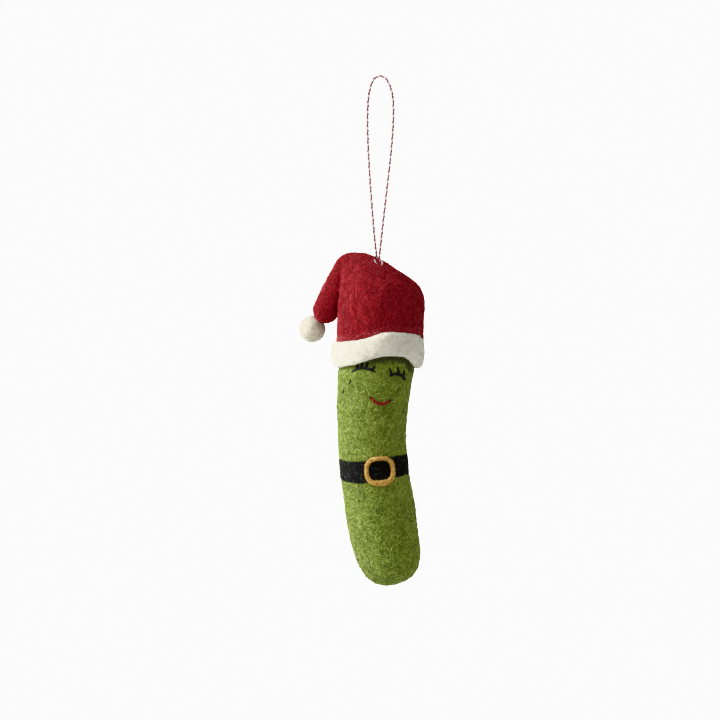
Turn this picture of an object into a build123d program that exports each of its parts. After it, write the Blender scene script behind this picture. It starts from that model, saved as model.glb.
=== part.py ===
"""Felted pickle ornament with a sewn face, a belt and a folded hat, hanging on a loop of twine.

Millimetres. The origin is the point at the top of the loop that a hook or branch carries. +Z is up,
-Y is the front, and the face is turned a little towards +X. Places along the pickle are angles
about the centre of its bend, positive downwards, and places around it are headings from -Y to +X.
"""

import os
from math import asin, cos, degrees, pi, radians, sin, sqrt, tan

from build123d import *

# Twine
TWINE_DIAMETER = 1.0
STRAND_SPACING = 1.3
NECK_DIAMETER = 1.8
NECK_LENGTH = 9.0
KNOT_DIAMETER = 5.0
TURNING_GAP = 0.2
TWINE_RISE = 1.2
HANG_X = -0.5
TWINE_ROUTE = [
    (-2.6, 0.25, -79.5),
    (-6.45, 2.6, -22.0),
    (-4.2, 2.6, TWINE_DIAMETER / 2),
    (4.4, -2.6, TWINE_DIAMETER / 2),
    (8.5, -3.4, -17.0),
    (1.2, -0.25, -79.5),
]
CORNER_SHARE = 0.45

# Pickle
HEAD_X = 0.52
HEAD_Z = -132.76
BEND_RADIUS = 240.0
WAIST_RADIUS = 17.05
HEAD_FLARE = 2.1
TOE_TAPER = 0.9
HEAD_ANGLE = -10.5
FLARE_ANGLE = 1.5
TAPER_ANGLE = 9.5
TOE_ANGLE = 14.1
HEAD_DOME = 19.0
TOE_DOME = 19.0
DOME_FULLNESS = 0.65
SKIN_FELT = 4.0
PICKLE_SECTIONS = 11

# Sewn face
FACE_HEADING = 9.0
EYE_ANGLE = -6.7
EYE_TILT = 0.12
EYE_SPREAD = 28.4
EYE_HALF_SPAN = 17.5
LID_ARCH = 1.8
LID_THREAD = 1.0
LASH_THREAD = 0.7
LASH_ROOTS = (-9.4, 0.0, 12.0)
LASH_TIPS = (-11.0, 4.5, 16.5)
LASH_HEIGHTS = (4.1, 5.0, 3.6)
LASH_GAP = 0.4
MOUTH_ANGLE = -3.82
MOUTH_HEADING = 12.4
MOUTH_HALF_SPAN = 15.8
MOUTH_DEPTH = 2.3
MOUTH_THREAD = 1.2
STITCH_GAP = 0.03

# Belt and buckle
BELT_ANGLE = 4.5
BELT_HEIGHT = 10.2
BELT_PROUD = 0.35
BELT_SUNK = 0.85
BELT_ROUND = 0.3
BUCKLE_HEADING = 9.0
BUCKLE_WIDTH = 15.2
BUCKLE_HEIGHT = 15.0
BUCKLE_SIDE = 2.2
BUCKLE_BAR = 2.8
BUCKLE_DROP = 0.5
BUCKLE_CORNER = 4.5
BUCKLE_INNER_CORNER = 2.7
BUCKLE_FELT = 1.6
FELT_GAP = 0.05

# Hat
HAT_FELT = 2.5
HAT_FRONT_FELT = 1.85
HAT_SHIFT = 0.63
HAT_RISE = 45.26
HAT_LEAN = 14.0
HAT_LEAN_CURVE = 2.4
HAT_LEAN_BACK = 3.0
HAT_DRIFT = 1.4
CROWN_DOME = 29.0
CROWN_WIDTH_CURVE = 0.6
CROWN_DEPTH_CURVE = 0.75
CROWN_SECTIONS = 7
BAND_SHIFT = -1.12
BAND_DROP = 5.64
BAND_HEIGHT = 12.8
BAND_FELT = 1.0
BAND_BULGE = 0.9
BAND_ROUND = 2.6
BAND_TILT = 11.5
BAND_HEADING = 6.0
BAND_COVER = 2.5
TACK_DIAMETER = 0.6
TACK_LENGTH = 3.4
TACK_DROP = 1.2
TACK_HEADINGS = (45, 135, 225, 315)
CREST_STITCHES = [
    [(-1.6, -2.1), (-1.75, -2.9), (-0.95, -4.1)],
    [(1.5, -2.3), (2.5, -3.5), (1.6, -5.0)],
]

# Hat tail and pompom
TAIL_ROOT_RADIUS = 5.6
TAIL_TIP_RADIUS = 8.5
TAIL_ROOT = (5.0, 3.0, -7.0)
TAIL_TIP = (-4.0, 7.0, -27.0)
TAIL_HINGE = (0.75, -2.75)
TAIL_BREAK = 1.5
TAIL_GAP = 0.3
POMPOM_DIAMETER = 12.8
POMPOM_TURN = (-9.4, 5.0, -11.5)
POMPOM_GAP = 0.3
THREAD_DIAMETER = 0.9
THREAD_LENGTH = 5.0

# Shared by the pieces that follow
BEND_X = HEAD_X - BEND_RADIUS * (1 - cos(radians(HEAD_ANGLE)))
BEND_Z = HEAD_Z + BEND_RADIUS * sin(radians(HEAD_ANGLE))
HEAD_RADIUS = WAIST_RADIUS + HEAD_FLARE
CROWN_RADIUS = HEAD_RADIUS + HAT_FELT
CROWN_DEPTH = HEAD_RADIUS + HAT_FRONT_FELT
HAT_X = HEAD_X + HAT_SHIFT
PEAK_Z = HEAD_Z + HAT_RISE
SHOULDER_Z = PEAK_Z - CROWN_DOME
CROWN_LEFT = HAT_X - CROWN_RADIUS
BAND_X = HEAD_X + BAND_SHIFT
BAND_Z = HEAD_Z - BAND_DROP
TACK_ANGLE = HEAD_ANGLE + TACK_DROP


def smooth_step(share):
    """Ease from 0 to 1."""
    share = min(max(share, 0.0), 1.0)
    return share * share * (3 - 2 * share)


def pickle_radius(angle):
    """Radius of the pickle: even at the waist, wider at the head and slimmer at the toe."""
    flare = HEAD_FLARE * smooth_step((FLARE_ANGLE - angle) / (FLARE_ANGLE - HEAD_ANGLE))
    taper = TOE_TAPER * (max(angle - TAPER_ANGLE, 0.0) / (TOE_ANGLE - TAPER_ANGLE)) ** 2
    return WAIST_RADIUS + flare - taper


def pickle_plane(angle):
    """Plane across the pickle, with its normal up along the bend and its Y to the back."""
    turn = radians(angle)
    centre_x = BEND_X + BEND_RADIUS * (1 - cos(turn))
    centre_z = BEND_Z - BEND_RADIUS * sin(turn)
    return Plane(
        origin=(centre_x, 0, centre_z),
        x_dir=(cos(turn), 0, sin(turn)),
        z_dir=(-sin(turn), 0, cos(turn)),
    )


def skin_point(angle, heading, height=0.0):
    """Point on the pickle's skin, height millimetres further up along the bend."""
    angle = angle - degrees(height / BEND_RADIUS)
    reach = pickle_radius(angle)
    turn = radians(heading)
    return pickle_plane(angle).from_local_coords(Vector(reach * sin(turn), -reach * cos(turn), 0))


def oval_face(plane, half_width, half_depth):
    """Oval section of four quarter arcs."""
    with BuildSketch(plane) as section:
        with BuildLine():
            for start in (0, 90, 180, 270):
                EllipticalCenterArc((0, 0), half_width, half_depth, start, arc_size=90)
        make_face()
    return section.sketch


def dome(plane, radius, height):
    """Blunt rounded end that stands on a plane."""
    with BuildPart() as cap:
        with BuildSketch(Plane(plane.origin, x_dir=plane.x_dir, z_dir=-plane.y_dir)):
            with BuildLine():
                Bezier(
                    (radius, 0),
                    (radius, DOME_FULLNESS * height),
                    (DOME_FULLNESS * radius, height),
                    (0, height),
                )
                Polyline((0, height), (0, 0), (radius, 0))
            make_face()
        revolve(axis=Axis(plane.origin, plane.z_dir))
    return cap.part


def pickle_form(grow):
    """The whole pickle, grown or shrunk evenly: a bent body and two rounded ends."""
    step = (TOE_ANGLE - HEAD_ANGLE) / (PICKLE_SECTIONS - 1)
    angles = [HEAD_ANGLE + step * number for number in range(PICKLE_SECTIONS)]
    faces = []
    for angle in angles:
        radius = pickle_radius(angle) + grow
        faces.append(oval_face(pickle_plane(angle), radius, radius))
    toe_plane = pickle_plane(TOE_ANGLE)
    toe_down = Plane(toe_plane.origin, x_dir=toe_plane.x_dir, z_dir=-toe_plane.z_dir)
    with BuildPart() as form:
        loft(faces)
        add(dome(pickle_plane(HEAD_ANGLE), HEAD_RADIUS + grow, HEAD_DOME + grow))
        add(dome(toe_down, pickle_radius(TOE_ANGLE) + grow, TOE_DOME + grow))
    return form.part


def crown_shape(z):
    """Centre and half sizes of the crown at a height: a wall below, a leaning dome above."""
    share = (z - SHOULDER_Z) / CROWN_DOME
    if share <= 0:
        return HAT_X + HAT_DRIFT * share, 0.0, CROWN_RADIUS, CROWN_DEPTH
    close = max(1 - share * share, 0.0)
    centre_x = HAT_X - HAT_LEAN * share**HAT_LEAN_CURVE
    half_width = CROWN_RADIUS * close**CROWN_WIDTH_CURVE
    half_depth = CROWN_DEPTH * close**CROWN_DEPTH_CURVE
    return centre_x, HAT_LEAN_BACK * share**2, half_width, half_depth


def crown_top(x, y):
    """Height of the crown's surface above a place, found by halving."""
    low, high = SHOULDER_Z, PEAK_Z
    for _ in range(40):
        middle = (low + high) / 2
        centre_x, centre_y, half_width, half_depth = crown_shape(middle)
        inside = ((x - centre_x) / half_width) ** 2 + ((y - centre_y) / half_depth) ** 2 < 1
        low, high = (middle, high) if inside else (low, middle)
    return low


def crown_front(x, z):
    """Point on the front of the crown."""
    centre_x, centre_y, half_width, half_depth = crown_shape(z)
    share = (x - centre_x) / half_width
    return Vector(x, centre_y - half_depth * sqrt(max(1 - share * share, 0.0)), z)


def crown_face(z, grow):
    """Section of the crown at a height."""
    centre_x, centre_y, half_width, half_depth = crown_shape(z)
    return oval_face(Plane((centre_x, centre_y, z)), half_width + grow, half_depth + grow)


def crown_form(grow):
    """The crown's outer shape as a solid, from below the band to the peak."""
    wall_bottom = BAND_Z - BAND_HEIGHT
    shares = [sin(pi / 2 * number / CROWN_SECTIONS) for number in range(CROWN_SECTIONS)]
    faces = [crown_face(SHOULDER_Z + share * CROWN_DOME, grow) for share in shares]
    peak = Vertex(HAT_X - HAT_LEAN, HAT_LEAN_BACK, PEAK_Z + grow)
    with BuildPart() as form:
        loft([crown_face(wall_bottom, grow), faces[0]])
        loft(faces + [peak])
    return form.part


def tube(points, diameter):
    """Round thread along a straight line of two points or an arc of three."""
    with BuildPart() as thread:
        with BuildLine() as path:
            if len(points) == 2:
                Line(*points)
            else:
                ThreePointArc(*points)
        with BuildSketch(Plane(path.line @ 0, z_dir=path.line % 0)):
            Circle(diameter / 2)
        sweep(path=path.line)
    return thread.part


def tubes(paths, diameter):
    """Several separate threads."""
    return [tube(points, diameter) for points in paths]


def belt_ring(inner, outer, height):
    """Ring about the pickle at the belt, from one radius to another."""
    plane = pickle_plane(BELT_ANGLE)
    with BuildPart() as ring:
        with BuildSketch(plane):
            Circle(outer)
            Circle(inner, mode=Mode.SUBTRACT)
        extrude(amount=height / 2, both=True)
    return ring.part


def neck_form(grow):
    """Twine neck in the crest of the hat, with the knot inside that holds it."""
    knot_z = NECK_TOP.Z - NECK_LENGTH
    with BuildPart() as neck:
        with BuildSketch(Plane((HANG_X, 0, knot_z))):
            Circle(NECK_DIAMETER / 2 + grow)
        extrude(amount=NECK_LENGTH)
        with Locations((HANG_X, 0, knot_z)):
            Sphere(KNOT_DIAMETER / 2 + grow)
    return neck.part


def twine_corner_radius(before, corner, after):
    """Largest fair radius at a corner of the twine's route."""
    run_in = Vector(corner) - Vector(before)
    run_out = Vector(after) - Vector(corner)
    half_turn = radians(run_in.get_angle(run_out)) / 2
    return CORNER_SHARE * min(run_in.length, run_out.length) / tan(half_turn)


def unit(*parts):
    """Vector of length one."""
    return Vector(*parts).normalized()


# Places that several pieces share
os.makedirs("parts", exist_ok=True)
PIVOT = Vector(HANG_X, 0, crown_top(HANG_X, 0) + TWINE_RISE)
NECK_TOP = PIVOT - Vector(0, 0, TWINE_DIAMETER / 2 + TURNING_GAP)
BELT_RADIUS = pickle_radius(BELT_ANGLE)
BAND_OUTER = CROWN_RADIUS + BAND_FELT
BAND_CENTRE = Vector(BAND_X, 0, BAND_Z)
band_front = Vector(sin(radians(BAND_HEADING)), -cos(radians(BAND_HEADING)), 0)
band_side = Vector(cos(radians(BAND_HEADING)), sin(radians(BAND_HEADING)), 0)
band_up = Vector(0, 0, 1) * cos(radians(BAND_TILT)) - band_front * sin(radians(BAND_TILT))
tail_root = Vector(CROWN_LEFT + TAIL_ROOT[0], TAIL_ROOT[1], PEAK_Z + TAIL_ROOT[2])
tail_tip = Vector(CROWN_LEFT + TAIL_TIP[0], TAIL_TIP[1], PEAK_Z + TAIL_TIP[2])
tail_hinge = Vector(CROWN_LEFT + TAIL_HINGE[0], 0, PEAK_Z + TAIL_HINGE[1])
tail_down = unit(*(tail_tip - tail_root))
pompom_way = unit(*POMPOM_TURN)
pompom_pivot = tail_tip + pompom_way * (TAIL_TIP_RADIUS + POMPOM_GAP / 2)
pompom_centre = pompom_pivot + pompom_way * (POMPOM_GAP / 2 + POMPOM_DIAMETER / 2)


def eye_point(side, inward, height=0.0):
    """Place at an eye, side -1 for the left one and 1 for the right, in degrees towards the nose."""
    heading = FACE_HEADING + side * (EYE_SPREAD - inward)
    return skin_point(EYE_ANGLE + side * EYE_TILT, heading, height)


def lid_points(side):
    """Ends and top of an eyelid's arc."""
    ends = [eye_point(side, -EYE_HALF_SPAN), eye_point(side, EYE_HALF_SPAN)]
    return [ends[0], eye_point(side, 0, LID_ARCH), ends[1]]


def lash_points(side):
    """Root and tip of each lash, leaning towards the middle of the face."""
    lashes = []
    for root, tip, height in zip(LASH_ROOTS, LASH_TIPS, LASH_HEIGHTS):
        lid_height = LID_ARCH * (1 - (root / EYE_HALF_SPAN) ** 2)
        lashes.append([eye_point(side, root, lid_height + LID_THREAD / 2 + LASH_GAP), eye_point(side, tip, height)])
    return lashes


mouth_points = [
    skin_point(MOUTH_ANGLE, MOUTH_HEADING - MOUTH_HALF_SPAN),
    skin_point(MOUTH_ANGLE, MOUTH_HEADING, -MOUTH_DEPTH),
    skin_point(MOUTH_ANGLE, MOUTH_HEADING + MOUTH_HALF_SPAN),
]
face_threads = [([mouth_points], MOUTH_THREAD)]
for eye_side in (-1, 1):
    face_threads.append(([lid_points(eye_side)], LID_THREAD))
    face_threads.append((lash_points(eye_side), LASH_THREAD))

# Stitches that hold the hat on the head, under the band
tack_paths = []
for heading in TACK_HEADINGS:
    tack_turn = radians(heading)
    tack_out = Vector(sin(tack_turn), -cos(tack_turn), 0)
    tack_end = pickle_radius(TACK_ANGLE) + HAT_FELT / 2
    tack_plane = pickle_plane(TACK_ANGLE)
    tack_paths.append(
        [
            tack_plane.from_local_coords(tack_out * (tack_end - TACK_LENGTH)),
            tack_plane.from_local_coords(tack_out * tack_end),
        ]
    )

# Pale stitches at the front of the crest
stitch_paths = []
for stitch in CREST_STITCHES:
    stitch_paths.append([crown_front(HANG_X + across, PIVOT.Z + up) for across, up in stitch])

# Hanging twine: up the left strand, over the support and down the right strand
twine_points = [PIVOT - Vector(STRAND_SPACING / 2, 0, 0)]
twine_points += [Vector(point) for point in TWINE_ROUTE]
twine_points.append(PIVOT + Vector(STRAND_SPACING / 2, 0, 0))
twine_radii = []
for number in range(1, len(twine_points) - 1):
    twine_radii.append(twine_corner_radius(*twine_points[number - 1 : number + 2]))
with BuildPart() as hanging_twine:
    with BuildLine() as twine_path:
        FilletPolyline(*twine_points, radius=twine_radii)
    with BuildSketch(Plane(twine_points[0], z_dir=twine_path.line % 0)):
        Circle(TWINE_DIAMETER / 2)
    sweep(path=twine_path.line)
    with Locations(twine_points[0], twine_points[-1]):
        Sphere(TWINE_DIAMETER / 2)
twine_length = twine_path.wire().length
print("twine radii", [round(radius, 1) for radius in twine_radii])
print("twine length", round(twine_length, 2))
print("twine volume", round(hanging_twine.part.volume, 2))
print("section times length", round(pi * TWINE_DIAMETER**2 / 4 * twine_length, 2))

# Twine knot
with BuildPart() as twine_knot:
    add(neck_form(0))

# Wool core
with BuildPart() as wool_core:
    add(pickle_form(-SKIN_FELT - FELT_GAP))

# Pickle skin, grooved for the belt and the stitches
with BuildPart() as pickle_skin:
    add(pickle_form(0))
    add(pickle_form(-SKIN_FELT), mode=Mode.SUBTRACT)
    add(
        belt_ring(
            BELT_RADIUS - BELT_SUNK - FELT_GAP,
            BELT_RADIUS + SKIN_FELT,
            BELT_HEIGHT + 2 * FELT_GAP,
        ),
        mode=Mode.SUBTRACT,
    )
    for paths, diameter in face_threads + [(tack_paths, TACK_DIAMETER)]:
        add(tubes(paths, diameter + 2 * STITCH_GAP), mode=Mode.SUBTRACT)

# Face threads
with BuildPart() as left_eyelid:
    add(tube(lid_points(-1), LID_THREAD))
with BuildPart() as right_eyelid:
    add(tube(lid_points(1), LID_THREAD))
with BuildPart() as left_lashes:
    add(tubes(lash_points(-1), LASH_THREAD))
with BuildPart() as right_lashes:
    add(tubes(lash_points(1), LASH_THREAD))
with BuildPart() as mouth:
    add(tube(mouth_points, MOUTH_THREAD))

# Belt
with BuildPart() as belt:
    add(belt_ring(BELT_RADIUS - BELT_SUNK, BELT_RADIUS + BELT_PROUD, BELT_HEIGHT))
    fillet(belt.faces().sort_by(SortBy.AREA)[-1].edges(), BELT_ROUND)

# Buckle: a rounded frame that follows the belt's curve
buckle_turn = radians(BUCKLE_HEADING)
belt_plane = pickle_plane(BELT_ANGLE)
buckle_out = belt_plane.x_dir * sin(buckle_turn) - belt_plane.y_dir * cos(buckle_turn)
buckle_side = belt_plane.x_dir * cos(buckle_turn) + belt_plane.y_dir * sin(buckle_turn)
buckle_centre = belt_plane.origin - belt_plane.z_dir * BUCKLE_DROP
buckle_inner = BELT_RADIUS + BELT_PROUD + FELT_GAP
with BuildPart() as buckle:
    with BuildSketch(Plane(buckle_centre, x_dir=buckle_side, z_dir=buckle_out)):
        RectangleRounded(BUCKLE_WIDTH, BUCKLE_HEIGHT, BUCKLE_CORNER)
        RectangleRounded(
            BUCKLE_WIDTH - 2 * BUCKLE_SIDE,
            BUCKLE_HEIGHT - 2 * BUCKLE_BAR,
            BUCKLE_INNER_CORNER,
            mode=Mode.SUBTRACT,
        )
    extrude(amount=BELT_RADIUS + BELT_PROUD + 2 * BUCKLE_FELT)
    add(
        belt_ring(buckle_inner, buckle_inner + BUCKLE_FELT, 2 * BUCKLE_HEIGHT),
        mode=Mode.INTERSECT,
    )

# Hat crown, with a socket for the head and a bore for the twine
with BuildPart() as hat_crown:
    add(crown_form(0))
    split(bisect_by=Plane(BAND_CENTRE - band_up * (BAND_HEIGHT / 2 - BAND_COVER), z_dir=band_up))
    add(pickle_form(FELT_GAP), mode=Mode.SUBTRACT)
    add(neck_form(TURNING_GAP), mode=Mode.SUBTRACT)
    add(tubes(stitch_paths, TWINE_DIAMETER + 2 * STITCH_GAP), mode=Mode.SUBTRACT)
    add(tubes(tack_paths, TACK_DIAMETER + 2 * STITCH_GAP), mode=Mode.SUBTRACT)

# Hat band: a tilted pillowy cuff round the crown
with BuildPart() as hat_band:
    with BuildSketch(Plane(BAND_CENTRE, x_dir=band_side, z_dir=band_side.cross(band_up))):
        with BuildLine():
            Polyline(
                (BAND_OUTER, BAND_HEIGHT / 2),
                (WAIST_RADIUS, BAND_HEIGHT / 2),
                (WAIST_RADIUS, -BAND_HEIGHT / 2),
                (BAND_OUTER, -BAND_HEIGHT / 2),
            )
            ThreePointArc(
                (BAND_OUTER, -BAND_HEIGHT / 2),
                (BAND_OUTER + BAND_BULGE, 0),
                (BAND_OUTER, BAND_HEIGHT / 2),
            )
        make_face()
    revolve(axis=Axis(BAND_CENTRE, band_up))
    fillet(hat_band.edges().sort_by(SortBy.LENGTH)[-2:], BAND_ROUND)
    add(crown_form(FELT_GAP), mode=Mode.SUBTRACT)
    add(pickle_form(FELT_GAP), mode=Mode.SUBTRACT)

# Hat tacks and the stitches at the crest
with BuildPart() as hat_tacks:
    add(tubes(tack_paths, TACK_DIAMETER))
with BuildPart() as twine_stitches:
    add(tubes(stitch_paths, TWINE_DIAMETER))

# Hat tail: a blunt thumb of felt that leans on the crown
tail_length = (tail_tip - tail_root).length
tail_slope = degrees(asin((TAIL_TIP_RADIUS - TAIL_ROOT_RADIUS) / tail_length))
tail_side = tail_down.cross(Vector(0, 1, 0)).normalized()
thread_path = [pompom_pivot - pompom_way * THREAD_LENGTH, pompom_pivot]
with BuildPart() as hat_tail:
    with BuildSketch(Plane(tail_root, x_dir=tail_side, z_dir=tail_side.cross(tail_down))):
        with BuildLine():
            root_arc = CenterArc((0, 0), TAIL_ROOT_RADIUS, -90, 90 - tail_slope)
            tip_arc = CenterArc((0, tail_length), TAIL_TIP_RADIUS, -tail_slope, 90 + tail_slope)
            Line(root_arc @ 1, tip_arc @ 0)
            Line(tip_arc @ 1, root_arc @ 0)
        make_face()
    revolve(axis=Axis(tail_root, tail_down))
    add(crown_form(TAIL_GAP), mode=Mode.SUBTRACT)
    split(bisect_by=Plane(tail_hinge + tail_down * TAIL_BREAK, z_dir=tail_down))
    add(tube(thread_path, THREAD_DIAMETER + 2 * STITCH_GAP), mode=Mode.SUBTRACT)

# Pompom and its thread, which ends in a ball that the pompom turns about
with BuildPart() as pompom_thread:
    add(tube(thread_path, THREAD_DIAMETER))
    with Locations(pompom_pivot):
        Sphere(THREAD_DIAMETER / 2)
with BuildPart() as pompom:
    with Locations(pompom_centre):
        Sphere(POMPOM_DIAMETER / 2)
    with Locations(pompom_pivot):
        Sphere(THREAD_DIAMETER / 2 + TURNING_GAP, mode=Mode.SUBTRACT)

print("twine pivot", PIVOT)
print("tail hinge", tail_hinge)
print("pompom pivot", pompom_pivot)

pieces = {
    "hanging_twine": hanging_twine,
    "twine_knot": twine_knot,
    "twine_stitches": twine_stitches,
    "wool_core": wool_core,
    "pickle_skin": pickle_skin,
    "left_eyelid": left_eyelid,
    "right_eyelid": right_eyelid,
    "left_lashes": left_lashes,
    "right_lashes": right_lashes,
    "mouth": mouth,
    "belt": belt,
    "buckle": buckle,
    "hat_crown": hat_crown,
    "hat_band": hat_band,
    "hat_tacks": hat_tacks,
    "hat_tail": hat_tail,
    "pompom_thread": pompom_thread,
    "pompom": pompom,
}
for name, piece in pieces.items():
    piece.part.label = name
    export_step(piece.part, f"parts/{name}.step")
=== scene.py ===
"""Felted pickle ornament: wool felt, sewing thread and twine over the packed model.

The felt pieces are swept from rings and pillowy sections, made uneven as hand-felted wool is, and
covered with loose fibres. Twine and threads are twisted from plies. Metres, -Y to the front, +Z up.
"""

import math
import random

import bmesh
import bpy
from mathutils import Matrix, Quaternion, Vector, noise
from mathutils.bvhtree import BVHTree
from mathutils.kdtree import KDTree


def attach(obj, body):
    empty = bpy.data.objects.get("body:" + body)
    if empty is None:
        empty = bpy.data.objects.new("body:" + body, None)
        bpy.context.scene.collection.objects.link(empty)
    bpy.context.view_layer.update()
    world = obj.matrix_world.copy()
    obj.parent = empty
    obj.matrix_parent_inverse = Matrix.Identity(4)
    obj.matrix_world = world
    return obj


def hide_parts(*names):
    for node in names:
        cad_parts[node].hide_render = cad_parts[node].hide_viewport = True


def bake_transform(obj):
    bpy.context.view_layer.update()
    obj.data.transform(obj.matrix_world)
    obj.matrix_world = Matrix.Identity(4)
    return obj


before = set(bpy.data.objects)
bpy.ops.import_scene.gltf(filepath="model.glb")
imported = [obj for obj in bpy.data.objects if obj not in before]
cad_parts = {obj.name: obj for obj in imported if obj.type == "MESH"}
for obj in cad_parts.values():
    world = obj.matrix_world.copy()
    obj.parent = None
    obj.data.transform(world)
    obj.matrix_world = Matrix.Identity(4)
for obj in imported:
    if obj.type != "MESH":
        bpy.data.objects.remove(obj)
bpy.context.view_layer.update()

bl_info = {
    "name": "Felted pickle ornament",
    "version": (1, 0, 0),
    "blender": (4, 5, 0),
    "location": "3D View > Sidebar > Ornament",
    "description": "Builds a felted pickle with a sewn face, a belt and a hat on a twine loop",
    "category": "Object",
}

MM = 0.001
FRONT = Vector((0, -1, 0))
UP = Vector((0, 0, 1))
WHITE = (1, 1, 1)

# Angles along the pickle's bend, in degrees, positive downwards
HEAD_ANGLE = -10.5
FLARE_ANGLE = 1.5
TAPER_ANGLE = 9.5
TOE_ANGLE = 14.1
EYE_ANGLE = -6.7
MOUTH_ANGLE = -3.82
BELT_ANGLE = 4.5
BELLY_ANGLE, BELLY_SPREAD = 10.8, 3
LEAN_ANGLES = (1, 9)
RETURN_ANGLES = (9, 14)

# Eyes: side, degrees from the nose to the middle, half span in degrees, rise towards the nose in
# millimetres, and the thread's fullness at the outer end and at the nose
EYES = {"left": (-1, 29.7, 19.3, 0.8, 0.8, 1.15), "right": (1, 28.4, 15.8, 0.65, 1.3, 0.9)}
EYE_TILT = 0.12
LID_ARCH = 1.8
# Lashes: root and tip towards the nose in shares of the half span, height of the tip in millimetres
# and how far its two strands lie apart at the root, in degrees
LASHES = {
    "left": (
        (-0.5, -0.42, 4.2, 1.5),
        (-0.14, -0.02, 4.6, 1.4),
        (0.2, 0.46, 5.6, 1.3),
        (0.76, 0.98, 3.9, 0.8),
    ),
    "right": ((-0.62, -0.62, 4.6, 0.5), (-0.02, 0.34, 6.0, 0.8), (0.82, 1.14, 5.0, 0.7)),
}
LASH_TIP_SHARE = 0.4
# Lift over the skin of a lash's five points and of a stitch's sunk ends, in millimetres
LASH_LIFTS = (-0.5, 0.1, 0.2, 0.1, -0.6)
SUNK_END = -0.6
# Mouth: heading and half span in degrees, depth, tilt and heights of the points of a corner's dark bit,
# painted shade, in millimetres
MOUTH_HEADING = 11.7
MOUTH_HALF_SPAN = 15.8
MOUTH_DEPTH = 2.3
MOUTH_TILT = 0.3
MOUTH_CORNER = (-0.5, 0.2, 0.9)

# Dark specks of wool caught in the felt: angle along the bend and heading, and the points of each as
# turns in degrees and heights in millimetres
SPECKS = ((-4.4, -55.0), (-5.5, -41.0))
SPECK_CURL = ((-0.9, -0.7), (0.6, -0.4), (0.2, 0.5), (1.4, 1.0))

# The twine's route, up the left strand, over the support and down the right strand, in millimetres
TWINE_ROUTE = (
    (-0.95, 0.0, -91.4),
    (-2.6, 0.25, -79.5),
    (-6.45, 2.6, -22.0),
    (-4.2, 2.6, 0.5),
    (4.4, -2.6, 0.5),
    (8.5, -3.4, -17.0),
    (1.2, -0.25, -79.5),
    (0.05, 0.0, -91.4),
)
# The knot inside the hat and the neck that leads up from it, in millimetres
KNOT_MIDDLE = (-0.5, 0, -99.6)
NECK_HEIGHTS = (-90.62, -93.0, -95.0, -97.0)
# Stitches at the crest, across and up from the place where the twine leaves it, in millimetres
CREST_X, CREST_Z = -0.5, -89.9
CREST_STITCHES = (
    ((-1.7, -1.9), (-1.85, -2.9), (-0.85, -4.1)),
    ((1.5, -2.1), (2.7, -3.5), (1.5, -5.2)),
    ((0.5, -0.5), (0.75, -1.9), (0.6, -3.4)),
)

# The hat's tail: centre of its root and of its tip, the middle of its fold, and a run along its axis,
# in millimetres
TAIL_ROOT = Vector((-15.8, 3.0, -94.5))
TAIL_TIP = Vector((-26.7, 7.0, -116.3))
TAIL_FOLD = Vector((-17.5, 1.0, -92.5))
TAIL_BEND = (-2, 13)
POMPOM_CENTRE = Vector((-33.62, 11.85, -125.65))

# The crown in millimetres: height of its hidden foot, and how its right side swells, as (swell,
# height, spread), with the powers that round its dome
CROWN_FOOT = -144
CROWN_SWELLS = ((0.8, -105, 6), (-1.7, -96.5, 3.4))
CROWN_LEAN_POWER, CROWN_SIDE_POWER, CROWN_FRONT_POWER = 2.4, 0.6, 0.75
CROWN_VOXEL = 0.55
# The fold is smoothed over and over, over a reach that shrinks a little each time
FOLD_ROUNDS, FOLD_REACH, FOLD_SHRINK = 54, 13, 0.12

# The band's edges round the hat in millimetres, with bumps as (height, heading, spread), the arch
# over the face between four headings, and the drop at the back
BAND_TOP, BAND_BOTTOM = -132.6, -144.3
BAND_TOP_BUMPS = ((4.0, 14, 32), (4.0, 62, 32))
BAND_BOTTOM_BUMPS = ((-0.8, -65, 16), (-1.5, 70, 16))
BAND_ARCH = 4.55
BAND_ARCH_RISE, BAND_ARCH_FALL = (-42, 13), (30, 73)
BAND_BACK_DROP, BAND_BACK_HEADING = 3.4, 6

# The belt's waves: height, and headings and spreads of its sag and of its widest place
BELT_WAVE = 0.25
BELT_SAG_HEADING, BELT_SAG_SPREAD = -16, 50
BELT_WIDE_HEADING, BELT_WIDE_SPREAD = -25, 30
BELT_HALF_FELT = 0.75

# Dents of hand felting: how fine and how deep
DENTS = ((75, 1.0), (210, 0.45), (560, 0.4))

# A loose fibre: pieces of its length, share of fibres that stand off, and how much higher they stand
FIBRE_STEPS = 6
LOOSE_SHARE, LOOSE_LIFT = 0.28, 3.0
FIBRE_SINK = 0.03

# Where loose fibres lie, in millimetres: on the pickle clear of the stitches and clear of the band by a
# strip, where the bare darker felt is painted shade under the band; dark ones under the band's arch, a
# painted shadow of the band; on the crown above its hidden foot, and rosy ones above the band's top edge
CLEAR_OF_BAND, CLEAR_OF_STITCHES = 1.6, 0.8
BROW_ROOTS, BROW_REACH, BROW_HEADINGS = (-0.4, 2.0), (-1.0, 4.6), (-20, 66)
BROW_CLEAR_OF_STITCHES = 0.5
CROWN_FIBRE_FOOT = -135
STRAY_REACH = (-0.8, 3.6)

# Plies: how far they lie from the middle and how wide they are, in shares of the whole thickness
THREAD_PLY_SPREAD, THREAD_PLY_WIDTH = 0.28, 0.48
TWINE_PLY_SPREAD, TWINE_PLY_WIDTH = 0.235, 0.56

# Stage, in metres
FLOOR_HEIGHT, FLOOR_HALF = -1.05, 2.4
KEY_PLACE, KEY_TARGET, KEY_SIZE = (-1.24, -0.28, 0.48), (0, 0, -0.16), 0.9
CAMERA_PLACE = (-0.0095, -0.85, -0.1415)


def distance(name, description, default):
    """A length that the user can change, given in millimetres."""
    return bpy.props.FloatProperty(
        name=name,
        description=description,
        default=default * MM,
        unit="LENGTH",
        subtype="DISTANCE",
        precision=5,
    )


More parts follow.
